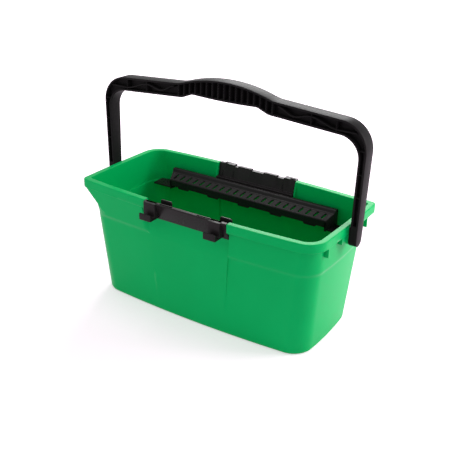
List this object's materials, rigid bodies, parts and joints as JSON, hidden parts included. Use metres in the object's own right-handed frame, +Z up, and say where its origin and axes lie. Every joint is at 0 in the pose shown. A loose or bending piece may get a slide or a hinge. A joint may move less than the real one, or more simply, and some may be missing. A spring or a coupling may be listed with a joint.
{
  "type": "window cleaning bucket",
  "caption": "Long rectangular plastic tub with pouring corners, a ribbed swing handle, clip-on tool holders with hooks and a lift-out slotted draining sieve.",
  "frame": {"origin": "middle of the tub's base, on the floor it stands on", "axes": "+X along the tub's length, +Y from the front long wall to the rear one, +Z up"},
  "size_m": [0.5462, 0.2816, 0.4353],
  "materials": {
    "green_plastic": "moulded, satin",
    "black_plastic": "moulded, fine grain"
  },
  "bodies": {
    "tub": {"tub": "green_plastic"},
    "handle": {"handle": "black_plastic"},
    "front_tool_holder": {"front_tool_holder": "black_plastic"},
    "rear_tool_holder": {"rear_tool_holder": "black_plastic"},
    "sieve": {"sieve": "black_plastic"}
  },
  "joints": [
    {"name": "handle_swing", "type": "hinge", "parent": "tub", "child": "handle", "pos_m": [0, 0, 0.209], "axis": [1, 0, 0], "range_deg": [-138, 141]},
    {"name": "front_holder_lift", "type": "slide", "parent": "tub", "child": "front_tool_holder", "axis": [0, 0, 1], "range_m": [0, 0.045]},
    {"name": "rear_holder_lift", "type": "slide", "parent": "tub", "child": "rear_tool_holder", "axis": [0, 0, 1], "range_m": [0, 0.045]},
    {"name": "sieve_lift", "type": "slide", "parent": "tub", "child": "sieve", "axis": [0, 0, 1], "range_m": [0, 0.09]}
  ]
}
